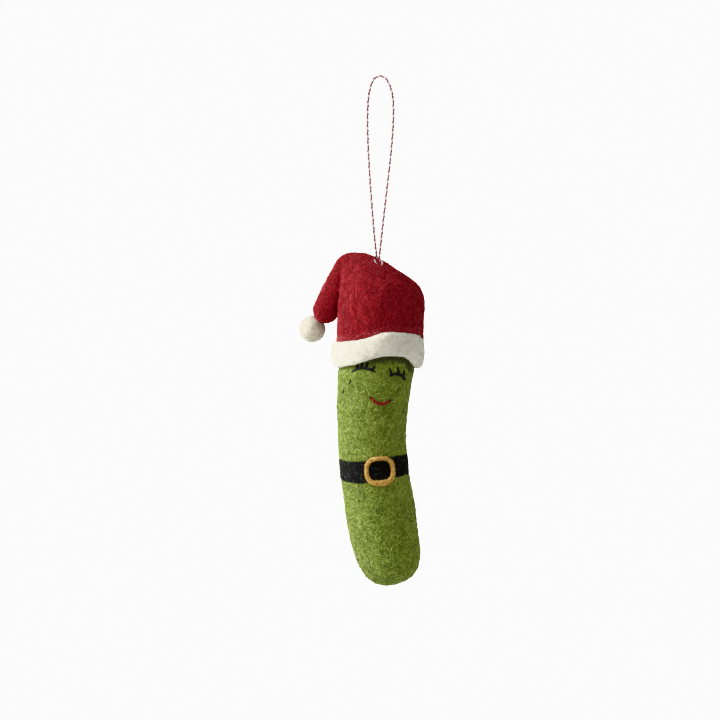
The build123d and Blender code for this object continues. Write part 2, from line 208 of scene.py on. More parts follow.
def colour(name, description, default):
    """A colour that the user can change."""
    return bpy.props.FloatVectorProperty(
        name=name, description=description, default=default, size=3, min=0, max=1, subtype="COLOR"
    )


def number(name, description, default, unit="NONE"):
    """A plain number that the user can change."""
    return bpy.props.FloatProperty(name=name, description=description, default=default, unit=unit)


def amount(name, description, default):
    """A number of loose fibres."""
    return bpy.props.IntProperty(name=name, description=description, default=default, min=0, max=3800)


class PickleSettings(bpy.types.PropertyGroup):
    """Sizes and greens of the felted pickle."""

    head_x: distance("Head across", "Centre of the head's widest section, left to right", 0.52)
    head_z: distance("Head height", "Height of the head's widest section", -132.76)
    bend_radius: distance("Bend radius", "Radius of the bend along the pickle", 240.0)
    waist_radius: distance("Waist radius", "Radius of the even middle", 17.05)
    head_flare: distance("Head flare", "How much wider the head is than the waist", 2.1)
    toe_taper: distance("Toe taper", "How much slimmer the toe is than the waist", 0.7)
    toe_lean: distance("Toe lean", "How much further to the right the lower half lies", 0.8)
    toe_return: distance("Toe return", "How far the toe comes back to the left", 0.6)
    belly: distance("Belly", "How much fuller the lower half is above the toe", 0.4)
    dome_height: distance("Dome height", "Height of the rounded ends", 19.0)
    unevenness: distance("Unevenness", "Depth of the dents of hand felting", 0.32)
    fibres: amount("Fibres", "Loose fibres of each kind on the green felt", 3700)
    # Dark fibres under the band, a painted shadow of the band on the pickle
    brow_fibres: amount("Shadow fibres", "Dark fibres under the band", 520)
    deep: colour("Deep green", "Shade between the fibres", (0.04, 0.056, 0.007))
    body: colour("Green", "Main shade of the felt", (0.114, 0.148, 0.023))
    pale: colour("Pale green", "Shade of the fibres on top", (0.34, 0.41, 0.1))


class FaceSettings(bpy.types.PropertyGroup):
    """Threads of the sewn face."""

    heading: number("Face heading", "Turn of the face from the front to the right, in degrees", 9.0)
    lid_thread: distance("Eyelid thread", "Thickness of the eyelid stitches", 1.4)
    lash_thread: distance("Lash thread", "Thickness of the lash stitches", 1.1)
    mouth_thread: distance("Mouth thread", "Thickness of the mouth stitch", 1.5)
    black: colour("Black thread", "Shade of the eyelids and lashes", (0.004, 0.004, 0.0045))
    red: colour("Red thread", "Shade of the mouth", (0.2, 0.008, 0.005))


class BeltSettings(bpy.types.PropertyGroup):
    """Belt and buckle."""

    height: distance("Belt height", "Width of the black strip", 10.2)
    proud: distance("Belt proud", "How far the belt stands out of the skin", 0.3)
    rise: distance("Belt rise", "How far the belt lies above its plane", 0.85)
    dip: distance("Belt dip", "How far the belt sags at the front", 1.6)
    buckle_half_width: distance("Buckle half width", "From the middle to the middle of a side", 6.8)
    buckle_half_height: distance("Buckle half height", "From the middle to the middle of a bar", 6.05)
    buckle_side: distance("Buckle side", "Width of the buckle's sides", 2.1)
    buckle_felt: distance("Buckle felt", "Thickness of the buckle", 2.1)
    belt_fibres: amount("Belt fibres", "Loose fibres on the belt", 1300)
    buckle_fibres: amount("Buckle fibres", "Loose fibres on the buckle", 900)
    black: colour("Black felt", "Shade of the belt", (0.0036, 0.004, 0.0034))
    dust: colour("Dust fibres", "Shade of the stray pale fibres on the belt", (0.2, 0.205, 0.18))
    gold: colour("Gold felt", "Shade of the buckle", (0.49, 0.28, 0.066))


class HatSettings(bpy.types.PropertyGroup):
    """Crown and tail of the hat."""

    centre_x: distance("Crown across", "Centre of the crown, left to right", 1.15)
    half_width: distance("Crown half width", "Half of the crown from side to side", 21.65)
    half_depth: distance("Crown half depth", "Half of the crown from front to back", 21.0)
    peak_z: distance("Peak height", "Height of the fold's top", -87.0)
    dome: distance("Crown dome", "Height of the leaning dome", 29.0)
    lean: distance("Lean", "How far the peak leans to the left", 14.0)
    lean_back: distance("Lean back", "How far the peak leans to the back", 3.0)
    drift: distance("Drift", "How far the wall leans over the dome's height", 1.4)
    root_radius: distance("Tail root radius", "Radius of the tail at the fold", 6.45)
    tip_radius: distance("Tail tip radius", "Radius of the tail's round end", 6.6)
    unevenness: distance("Unevenness", "Depth of the dents of hand felting", 0.32)
    crown_fibres: amount("Crown fibres", "Loose fibres of each kind on the crown", 3400)
    tail_fibres: amount("Tail fibres", "Loose fibres on the tail", 2200)
    deep: colour("Deep red", "Shade between the fibres", (0.06, 0.0006, 0.002))
    body: colour("Red", "Main shade of the felt", (0.142, 0.003, 0.006))
    pale: colour("Pale red", "Shade of the fibres on top", (0.35, 0.021, 0.028))


class BandSettings(bpy.types.PropertyGroup):
    """Cream cuff of the hat and its pompom."""

    centre_x: distance("Band across", "Centre of the band, left to right", -0.6)
    outer_radius: distance("Outer radius", "Radius of the band's outside", 23.2)
    inner_radius: distance("Inner radius", "Radius of the band's hidden inside", 18.9)
    pompom_radius: distance("Pompom radius", "Radius of the felt ball", 6.65)
    unevenness: distance("Unevenness", "Depth of the dents of hand felting", 0.4)
    band_fibres: amount("Band fibres", "Loose fibres on the band", 2200)
    stray_fibres: amount("Stray fibres", "Rosy fibres on the crown just above the band", 700)
    pompom_fibres: amount("Pompom fibres", "Loose fibres on the pompom", 700)
    deep: colour("Deep cream", "Shade between the fibres", (0.54, 0.50, 0.39))
    body: colour("Cream", "Main shade of the felt", (0.68, 0.655, 0.555))
    pale: colour("Pale cream", "Shade of the fibres on top", (0.74, 0.72, 0.64))


class TwineSettings(bpy.types.PropertyGroup):
    """Twine and its plies."""

    diameter: distance("Twine diameter", "Thickness of the twisted twine", 1.4)
    pitch: distance("Twine pitch", "Length of one turn of the plies", 4.1)
    red: colour("Red ply", "Shade of the red ply", (0.15, 0.006, 0.022))
    white: colour("White ply", "Shade of the white ply", (0.42, 0.33, 0.34))
    thread: colour("Sewing thread", "Shade of the hidden stitches", (0.74, 0.70, 0.62))


class StageSettings(bpy.types.PropertyGroup):
    """Floor, light and camera."""

    floor: colour("Floor", "Shade of the pale floor", (0.86, 0.86, 0.85))
    key_power: number("Key power", "Power of the soft light", 45.0, "POWER")
    sky: number("Sky", "Strength of the light from straight above", 1.04)
    bounce: number("Bounce", "Strength of the light from straight below", 0.25)
    backdrop: number("Backdrop", "Brightness of the backdrop", 2.4)
    lens: number("Lens", "Focal length of the camera in millimetres", 85.0)


SETTINGS = {
    "pickle_settings": PickleSettings,
    "face_settings": FaceSettings,
    "belt_settings": BeltSettings,
    "hat_settings": HatSettings,
    "band_settings": BandSettings,
    "twine_settings": TwineSettings,
    "stage_settings": StageSettings,
}


# Forms shared by several pieces


def smooth_step(share):
    """Ease from 0 to 1."""
    share = min(max(share, 0.0), 1.0)
    return share * share * (3 - 2 * share)


def eased(value, span):
    """Ease from 0 at the start of a span to 1 at its end."""
    return smooth_step((value - span[0]) / (span[1] - span[0]))


def bell(value, centre, width):
    """Rounded bump of height 1."""
    return math.exp(-(((value - centre) / width) ** 2))


def signed_power(value, power):
    """Power that keeps the sign, for squarish rounds."""
    return math.copysign(abs(value) ** power, value)


def pickle_radius(pickle, angle):
    """Radius of the pickle: even at the waist, wider at the head and slimmer at the toe."""
    flare = pickle.head_flare * smooth_step((FLARE_ANGLE - angle) / (FLARE_ANGLE - HEAD_ANGLE))
    taper = pickle.toe_taper * (max(angle - TAPER_ANGLE, 0.0) / (TOE_ANGLE - TAPER_ANGLE)) ** 2
    return pickle.waist_radius + flare - taper + pickle.belly * bell(angle, BELLY_ANGLE, BELLY_SPREAD)


def pickle_axes(pickle, angle):
    """Centre of a section, its direction to the right and its direction up along the bend."""
    head, turn = math.radians(HEAD_ANGLE), math.radians(angle)
    x = pickle.head_x + pickle.bend_radius * (math.cos(head) - math.cos(turn))
    x += pickle.toe_lean * eased(angle, LEAN_ANGLES) - pickle.toe_return * eased(angle, RETURN_ANGLES)
    z = pickle.head_z + pickle.bend_radius * (math.sin(head) - math.sin(turn))
    side = Vector((math.cos(turn), 0, math.sin(turn)))
    up = Vector((-math.sin(turn), 0, math.cos(turn)))
    return Vector((x, 0, z)), side, up


def skin_point(pickle, angle, heading, height=0.0, lift=0.0):
    """Point over the pickle's skin, height further up along the bend and lift away from the skin."""
    angle -= math.degrees(height / pickle.bend_radius)
    centre, side, _ = pickle_axes(pickle, angle)
    turn = math.radians(heading)
    reach = pickle_radius(pickle, angle) + lift
    return centre + (side * math.sin(turn) + FRONT * math.cos(turn)) * reach


def belt_offset(belt, heading):
    """How far the belt's middle lies from its plane, round the pickle."""
    wave = BELT_WAVE * MM * math.sin(math.radians(3 * heading + 40))
    return belt.rise + wave - belt.dip * bell(heading, BELT_SAG_HEADING, BELT_SAG_SPREAD)


def crown_shape(hat, z):
    """Centre and half sizes of the crown at a height: a wall below, a leaning dome above."""
    shoulder = hat.peak_z - hat.dome
    share = min((z - shoulder) / hat.dome, 0.9999)
    if share <= 0:
        return hat.centre_x + hat.drift * share, 0.0, hat.half_width, hat.half_depth
    close = 1 - share * share
    centre_x = hat.centre_x - hat.lean * share**CROWN_LEAN_POWER
    half_width = hat.half_width * close**CROWN_SIDE_POWER
    return centre_x, hat.lean_back * share**2, half_width, hat.half_depth * close**CROWN_FRONT_POWER


def crown_front(hat, x, z, lift):
    """Point on the front of the crown."""
    centre_x, centre_y, half_width, half_depth = crown_shape(hat, z)
    share = min(abs(x - centre_x) / half_width, 1.0)
    return Vector((x, centre_y - half_depth * math.sqrt(1 - share * share) - lift, z))


def tail_axes():
    """Root, direction and length of the tail's axis, with two directions across it."""
    root = TAIL_ROOT * MM
    run = TAIL_TIP * MM - root
    down = run.normalized()
    side = down.cross(Vector((0, 1, 0))).normalized()
    return root, down, run.length, side, side.cross(down)


def band_edges(heading):
    """Heights of the band's top and bottom, round the hat: raised over the face, low at the back."""
    back = BAND_BACK_DROP * max(0.0, -math.cos(math.radians(heading - BAND_BACK_HEADING))) ** 1.2
    top = BAND_TOP
    for height, centre, spread in BAND_TOP_BUMPS:
        top += height * bell(heading, centre, spread)
    bottom = BAND_BOTTOM + BAND_ARCH * (eased(heading, BAND_ARCH_RISE) * (1 - eased(heading, BAND_ARCH_FALL)))
    for height, centre, spread in BAND_BOTTOM_BUMPS:
        bottom += height * bell(heading, centre, spread)
    return (top - back) * MM, (bottom - back) * MM


def around_ring(station, count):
    """Heading of one of many stations round a ring, from -180 to 180 degrees."""
    heading = 360 * station / count
    return heading - 360 if heading > 180 else heading


def around_band(band, point):
    """Heading of a point, seen from the band's middle."""
    return math.degrees(math.atan2(point.x - band.centre_x, -point.y))


def below_band(band, point):
    """How far a point lies below the band's bottom edge."""
    return band_edges(around_band(band, point))[1] - point.z


# Mesh tools


def sweep(mesh, stations, segments, place, closed):
    """Skin over rings of vertices that are placed one after another, joined at the ends if closed."""
    loops = []
    for station in range(stations):
        ring = bmesh.ops.create_circle(mesh, radius=1.0, segments=segments)["verts"]
        loops.append(list(dict.fromkeys(edge for vert in ring for edge in vert.link_edges)))
        for vert in ring:
            vert.co = place(station, math.atan2(vert.co.y, vert.co.x))
    after = loops[1:] + loops[:1] if closed else loops[1:]
    for near, far in zip(loops, after):
        bmesh.ops.bridge_loops(mesh, edges=near + far)
    if not closed:
        bmesh.ops.edgeloop_fill(mesh, edges=loops[0])
        bmesh.ops.edgeloop_fill(mesh, edges=loops[-1])


def roughen(mesh, depth, seed):
    """Dents of hand felting at three sizes."""
    shift = Vector((seed * 3.7, seed * 1.3, seed * 2.9))
    mesh.normal_update()
    moves = []
    for vert in mesh.verts:
        dent = sum(part * noise.noise(vert.co * fineness + shift) for fineness, part in DENTS)
        moves.append(vert.normal * dent * depth)
    for vert, move in zip(mesh.verts, moves):
        vert.co += move


def soften(mesh, verts):
    """One round of smoothing."""
    bmesh.ops.smooth_vert(mesh, verts=verts, factor=0.5, use_axis_x=True, use_axis_y=True, use_axis_z=True)


def finished(name, mesh, materials):
    """Object with its place in its mesh, from a bmesh that is freed."""
    bmesh.ops.recalc_face_normals(mesh, faces=mesh.faces)
    data = bpy.data.meshes.new(name)
    mesh.to_mesh(data)
    mesh.free()
    return shown(name, data, materials)


def shown(name, data, materials):
    """Linked, smooth object for a mesh."""
    data.shade_smooth()
    for number, material in enumerate(materials):
        if number < len(data.materials):
            data.materials[number] = material
        else:
            data.materials.append(material)
    piece = bpy.data.objects.new(name, data)
    bpy.context.scene.collection.objects.link(piece)
    return piece


def curve_mesh(name, splines, width, sides):
    """Mesh of tubes along lists of points with a share of the width at each, and a material number."""
    data = bpy.data.curves.new(name, "CURVE")
    data.dimensions = "3D"
    data.bevel_depth = width / 2
    data.bevel_resolution = sides
    data.use_fill_caps = True
    for _ in range(max(slot for _, _, slot in splines) + 1):
        data.materials.append(None)
    for points, shares, slot in splines:
        spline = data.splines.new("POLY")
        spline.points.add(len(points) - 1)
        spline.points.foreach_set("co", [number for point in points for number in (*point, 1.0)])
        spline.points.foreach_set("radius", shares)
        spline.material_index = slot
        spline.use_smooth = True
    holder = bpy.data.objects.new(name, data)
    mesh = bpy.data.meshes.new_from_object(holder)
    bpy.data.objects.remove(holder)
    bpy.data.curves.remove(data)
    return mesh


def smooth_line(points, steps):
    """Points along a NURBS spline through its ends, with the given points as its controls."""
    data = bpy.data.curves.new("line", "CURVE")
    data.dimensions = "3D"
    spline = data.splines.new("NURBS")
    spline.points.add(len(points) - 1)
    for place, point in zip(spline.points, points):
        place.co = (*point, 1.0)
    spline.order_u = 3
    spline.use_endpoint_u = True
    spline.resolution_u = steps
    holder = bpy.data.objects.new("line", data)
    mesh = bpy.data.meshes.new_from_object(holder)
    line = [vert.co.copy() for vert in mesh.vertices]
    bpy.data.meshes.remove(mesh)
    bpy.data.objects.remove(holder)
    bpy.data.curves.remove(data)
    return line


def twist(line, radius, pitch, start):
    """Points of one ply that winds about a line."""
    ply = []
    across = None
    run = 0.0
    for number, point in enumerate(line):
        ahead = line[min(number + 1, len(line) - 1)] - line[max(number - 1, 0)]
        ahead.normalize()
        if across is None:
            across = ahead.orthogonal().normalized()
        across = (across - ahead * across.dot(ahead)).normalized()
        if number:
            run += (point - line[number - 1]).length
        turn = start + 2 * math.pi * run / pitch
        ply.append(point + (across * math.cos(turn) + ahead.cross(across) * math.sin(turn)) * radius)
    return ply


def wind(line, spread, pitch, slots, start=0.0):
    """Two plies about a line, each with its material number."""
    plies = [twist(line, spread, pitch, math.pi * number + start) for number in range(2)]
    return [(ply, [1.0] * len(ply), slot) for ply, slot in zip(plies, slots)]


def thread(name, routes, width, pitch, materials):
    """Twisted sewing thread along routes, each with its fullness at both ends and its plies' materials."""
    splines = []
    for route, first, last, plies in routes:
        line = smooth_line(route, 10)
        shares = [first + (last - first) * number / (len(line) - 1) for number in range(len(line))]
        for number, slot in enumerate(plies):
            ply = twist(line, width * THREAD_PLY_SPREAD, pitch, 2 * math.pi * number / 3)
            ply = [point + (place - point) * share for point, place, share in zip(line, ply, shares)]
            splines.append((ply, shares, slot))
    return shown(name, curve_mesh(name, splines, width * THREAD_PLY_WIDTH, 1), materials)


def fibre_points(tree, place, normal, rng, reach, lift, curl, grain):
    """A curly fibre that starts and mostly stays on a surface, along the grain if there is one."""
    heading = (grain - normal * grain.dot(normal) if grain else normal.orthogonal()).normalized()
    heading.rotate(Quaternion(normal, rng.gauss(0, 0.5) if grain else rng.uniform(0, 2 * math.pi)))
    loose = rng.random() < LOOSE_SHARE
    rise = lift * rng.uniform(0.25, 1.0) * (LOOSE_LIFT if loose else 1.0)
    step = reach * rng.uniform(0.45, 1.25) / FIBRE_STEPS
    bend = rng.uniform(-curl, curl)
    points = []
    for number in range(FIBRE_STEPS + 1):
        share = number / FIBRE_STEPS
        height = rise * share**1.6 if loose else rise * math.sin(math.pi * share)
        points.append(place + normal * (height - FIBRE_SINK * MM))
        heading.rotate(Quaternion(normal, bend + rng.gauss(0, 0.22)))
        place, normal, _, _ = tree.find_nearest(place + heading * step)
        heading = (heading - normal * heading.dot(normal)).normalized()
    return points


def lay_fibres(
    name, base, count, shades, seed, reach, width, lift=0.2, curl=0.5, grain=None, keep=None, root=None
):
    """Loose wool fibres over a finished piece, each shade a material with its share.

    A fibre starts where the root test holds and lies where the keep test holds. Its reach, width and
    lift are in millimetres.
    """
    root = root or keep
    materials, parts = zip(*shades)
    rng = random.Random(seed)
    data = base.data
    data.calc_loop_triangles()
    triangles = [triangle for triangle in data.loop_triangles if root is None or root(triangle.center)]
    corners = [vert.co.copy() for vert in data.vertices]
    tree = BVHTree.FromPolygons(corners, [tuple(triangle.vertices) for triangle in data.loop_triangles])
    total = 0.0
    weights = []
    for triangle in triangles:
        total += triangle.area
        weights.append(total)
    splines = []
    for triangle in rng.choices(triangles, cum_weights=weights, k=4 * count):
        if len(splines) == count:
            break
        first, second, third = (corners[number] for number in triangle.vertices)
        one, two = math.sqrt(rng.random()), rng.random()
        place = first * (1 - one) + second * (one * (1 - two)) + third * (one * two)
        points = fibre_points(tree, place, triangle.normal.copy(), rng, reach * MM, lift * MM, curl, grain)
        if keep and not all(keep(point) for point in points):
            continue
        stout = 0.35 + 0.65 * rng.random() ** 2
        shares = []
        for number in range(FIBRE_STEPS + 1):
            shares.append(stout * math.sin(math.pi * (0.12 + 0.76 * number / FIBRE_STEPS)))
        splines.append((points, shares, rng.choices(range(len(materials)), parts)[0]))
    return shown(name, curve_mesh(name, splines, width * MM, 0), materials)


# Materials


class Nodes:
    """Short way to add and join the nodes of one material or world."""

    def __init__(self, owner):
        self.owner = owner
        owner.use_nodes = True
        self.tree = owner.node_tree
        self.shader = self.tree.nodes.get("Principled BSDF") or self.tree.nodes["Background"]

    def add(self, kind, values=(), **settings):
        node = self.tree.nodes.new(kind)
        for key, value in settings.items():
            setattr(node, key, value)
        for key, value in dict(values).items():
            if isinstance(value, bpy.types.NodeSocket):
                self.tree.links.new(value, node.inputs[key])
            else:
                node.inputs[key].default_value = value
        return node

    def noise(self, place, scale, detail=2.0, distortion=0.0):
        values = {"Vector": place, "Scale": scale, "Detail": detail, "Distortion": distortion}
        return self.add("ShaderNodeTexNoise", values).outputs["Fac"]

    def math(self, operation, first, second=0.0, clamp=False):
        node = self.add("ShaderNodeMath", {0: first, 1: second}, operation=operation, use_clamp=clamp)
        return node.outputs[0]

    def lines(self, place, scale, distortion, sharpness):
        """Thin curly lines where a noise crosses its middle."""
        value = self.noise(place, scale, 1.5, distortion)
        away = self.math("ABSOLUTE", self.math("SUBTRACT", value, 0.5))
        return self.math("SUBTRACT", 1.0, self.math("MULTIPLY", away, sharpness), clamp=True)

    def ramp(self, factor, stops):
        node = self.add("ShaderNodeValToRGB", {"Fac": factor})
        elements = node.color_ramp.elements
        while len(elements) < len(stops):
            elements.new(0.5)
        for element, (position, shade) in zip(elements, stops):
            element.position = position
            element.color = (*shade, 1.0)
        return node.outputs["Color"]

    def set(self, values):
        """Numbers and colours that are the same all over, on the shader's own sockets."""
        for key, value in values.items():
            self.shader.inputs[key].default_value = value

    def finish(self, shade, height, strength, depth, roughness, sheen, sheen_shade):
        bump = self.add("ShaderNodeBump", {"Strength": strength, "Distance": depth, "Height": height})
        self.tree.links.new(shade, self.shader.inputs["Base Color"])
        self.tree.links.new(bump.outputs["Normal"], self.shader.inputs["Normal"])
        self.set({"Roughness": roughness, "Specular IOR Level": 0.5})
        self.set({"Sheen Weight": sheen, "Sheen Roughness": 0.45, "Sheen Tint": (*sheen_shade, 1.0)})
        return self.owner


def felt(name, deep, body, pale, stretch=1.0, relief=0.35, glow=0.0, pit_depth=0.45, sheen=0.05):
    """Needle-felted wool: fine curly fibres, needle pits darkened as painted shade, and cloudy patches, drawn
    out along the height.
    """
    nodes = Nodes(bpy.data.materials.new(name))
    place = nodes.add("ShaderNodeTexCoord").outputs["Object"]
    drawing = nodes.add("ShaderNodeMapping", {"Vector": place, "Scale": (1.0, 1.0, 1.0 / stretch)})
    drawn = drawing.outputs["Vector"]
    coarse = nodes.lines(drawn, scale=420.0, distortion=1.8, sharpness=15.0)
    fine = nodes.lines(drawn, scale=900.0, distortion=1.4, sharpness=12.0)
    strands = nodes.math("MAXIMUM", coarse, fine)
    needles = nodes.noise(drawn, scale=640.0, distortion=1.2)
    # Needle pits: darkened towards the deep shade as painted shade in the pits, and sunk in the bump
    pits = nodes.add(
        "ShaderNodeMapRange", {"Value": needles, "From Min": 0.46, "From Max": 0.33, "To Max": pit_depth}
    ).outputs["Result"]
    cloud = nodes.noise(place, scale=85.0, detail=3.0, distortion=0.4)
    tone = nodes.math("ADD", nodes.math("MULTIPLY", strands, 0.5), nodes.math("MULTIPLY", cloud, 0.36))
    tone = nodes.math("SUBTRACT", nodes.math("ADD", tone, 0.12), pits)
    shade = nodes.ramp(tone, ((0.05, deep), (0.42, body), (0.85, pale)))
    height = nodes.math("SUBTRACT", strands, nodes.math("MULTIPLY", pits, 1.5))
    nodes.set({"Subsurface Weight": glow, "Subsurface Radius": (1.0, 0.95, 0.85), "Subsurface Scale": 6 * MM})
    return nodes.finish(shade, height, 0.8, relief * MM, 0.95, sheen, blend_shade(pale, WHITE, 0.4))


def yarn(name, body, pale, roughness=0.7):
    """Spun thread: fine fibres with paler tops."""
    nodes = Nodes(bpy.data.materials.new(name))
    place = nodes.add("ShaderNodeTexCoord").outputs["Object"]
    strands = nodes.lines(place, scale=2600.0, distortion=1.0, sharpness=5.0)
    grain = nodes.noise(place, scale=5200.0)
    tone = nodes.math("ADD", nodes.math("MULTIPLY", strands, 0.5), nodes.math("MULTIPLY", grain, 0.5))
    shade = nodes.ramp(tone, ((0.2, tuple(0.6 * part for part in body)), (0.5, body), (0.9, pale)))
    return nodes.finish(shade, tone, 0.6, 0.1 * MM, roughness, 0.15, pale)


def fibre_shades(name, shades):
    """One plain wool material for each shade of loose fibre, with the shade's share."""
    made = []
    for number, (shade, part) in enumerate(shades):
        nodes = Nodes(bpy.data.materials.new(f"{name} {number + 1}"))
        nodes.set({"Base Color": (*shade, 1.0), "Roughness": 0.9, "Specular IOR Level": 0.5})
        made.append((nodes.owner, part))
    return made


def blend_shade(first, second, share):
    """Shade between two."""
    return tuple(a + (b - a) * share for a, b in zip(first, second))


def known(name, maker, *shades, **details):
    """Material by name, made when it is first asked for."""
    return bpy.data.materials.get(name) or maker(name, *shades, **details)


def dress(piece, body, slot, *nodes):
    """Piece that moves with a body and stands for packed nodes; its slot is not used."""
    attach(piece, body)
    if nodes:
        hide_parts(*nodes)
    return piece


# Pieces


class ORNAMENT_OT_stage(bpy.types.Operator):
    """Set up the floor, the soft light and the camera"""

    bl_idname = "ornament.stage"
    bl_label = "Stage"

    def execute(self, context):
        scene, stage = context.scene, context.scene.stage_settings
        ground = bmesh.new()
        drop = Matrix.Translation((0, 0, FLOOR_HEIGHT))
        bmesh.ops.create_grid(ground, x_segments=4, y_segments=4, size=FLOOR_HALF, matrix=drop)
        nodes = Nodes(bpy.data.materials.new("pale floor"))
        grain = nodes.noise(nodes.add("ShaderNodeTexCoord").outputs["Object"], scale=3.0, detail=3.0)
        shade = nodes.ramp(grain, ((0.3, tuple(stage.floor)), (0.8, blend_shade(stage.floor, WHITE, 0.2))))
        floor = finished("floor", ground, [nodes.finish(shade, grain, 0.05, MM, 0.9, 0.0, stage.floor)])

        scene.world = bpy.data.worlds.new("studio")
        nodes = Nodes(scene.world)
        place = nodes.add("ShaderNodeTexCoord").outputs["Generated"]
        height = nodes.add("ShaderNodeSeparateXYZ", {"Vector": place}).outputs["Z"]
        spread = {"Value": height, "From Min": -1.0, "To Min": stage.bounce, "To Max": stage.sky}
        soft = nodes.add("ShaderNodeMapRange", spread).outputs["Result"]
        seen = nodes.add("ShaderNodeLightPath").outputs["Is Camera Ray"]
        strength = nodes.add("ShaderNodeMix", {"Factor": seen, "A": soft, "B": stage.backdrop})
        nodes.tree.links.new(strength.outputs["Result"], nodes.shader.inputs["Strength"])
        nodes.set({"Color": (*WHITE, 1)})

        key = bpy.data.lights.new("key", "AREA")
        key.energy = stage.key_power
        key.size = KEY_SIZE
        lamp = bpy.data.objects.new("key", key)
        lamp.location = KEY_PLACE
        lamp.rotation_euler = (Vector(KEY_TARGET) - lamp.location).to_track_quat("-Z", "Y").to_euler()
        scene.collection.objects.link(lamp)

        lens = bpy.data.cameras.new("camera")
        lens.lens = stage.lens
        lens.sensor_width = 36.0
        lens.clip_start, lens.clip_end = 0.01, 20.0
        camera = bpy.data.objects.new("camera", lens)
        camera.location = CAMERA_PLACE
        camera.rotation_euler = (math.radians(90), 0, 0)
        scene.collection.objects.link(camera)
        scene.camera = camera
        scene.view_settings.view_transform = "Khronos PBR Neutral"
        return {"FINISHED"}


class ORNAMENT_OT_twine(bpy.types.Operator):
    """Twist the hanging twine, its knot and the stitches at the crest"""

    bl_idname = "ornament.twine"
    bl_label = "Twine"

    def execute(self, context):
        twine, hat = context.scene.twine_settings, context.scene.hat_settings
        red, white = tuple(twine.red), tuple(twine.white)
        plies = [
            known("twine red", yarn, red, blend_shade(red, WHITE, 0.15)),
            known("twine white", yarn, white, blend_shade(white, WHITE, 0.3)),
        ]
        line = smooth_line([Vector(point) * MM for point in TWINE_ROUTE], 64)
        splines = wind(line, twine.diameter * TWINE_PLY_SPREAD, twine.pitch, (0, 1))
        rope = shown("twine", curve_mesh("twine", splines, twine.diameter * TWINE_PLY_WIDTH, 2), plies)
        dress(rope, "loop", "twine", "hanging_twine")
        length = sum((after - before).length for before, after in zip(line, line[1:]))
        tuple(line[0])

        knot = []
        for number in range(13):
            turn = 4 * math.pi * number / 12
            swell = 1.15 + 0.55 * math.cos(1.5 * turn)
            away = Vector((swell * math.cos(turn), swell * math.sin(turn), math.sin(1.5 * turn)))
            knot.append(Vector(KNOT_MIDDLE) * MM + away * MM)
        neck = [Vector((CREST_X, 0, z)) * MM for z in NECK_HEIGHTS]
        splines = []
        for route, spread, pitch in ((neck, 0.42, 5.0), (knot, 0.235, twine.pitch / MM)):
            splines += wind(smooth_line(route, 16), spread * MM, pitch * MM, (0, 1))
        piece = shown("twine_knot_wound", curve_mesh("twine_knot_wound", splines, 0.62 * MM, 2), plies)
        dress(piece, "knot", "twine", "twine_knot")

        plies[1] = known("stitch white", yarn, (0.58, 0.50, 0.51), (0.8, 0.74, 0.75))
        splines = []
        for stitch, slot in zip(CREST_STITCHES, (1, 1, 0)):
            route = [crown_front(hat, (x + CREST_X) * MM, (z + CREST_Z) * MM, 0.15 * MM) for x, z in stitch]
            route[0].y += 0.5 * MM
            route[-1].y += 0.9 * MM
            splines += wind(smooth_line(route, 10), 0.22 * MM, 2.8 * MM, (1, slot), start=0.6)
        piece = shown("crest_stitches", curve_mesh("crest_stitches", splines, 0.55 * MM, 2), plies)
        dress(piece, "pickle", "pale_thread", "twine_stitches")

        sewing = known("sewing thread", yarn, tuple(twine.thread), (0.85, 0.82, 0.76))
        for node in ("hat_tacks", "pompom_thread"):
            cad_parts[node].data.materials.clear()
            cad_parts[node].data.materials.append(sewing)
        return {"FINISHED"}


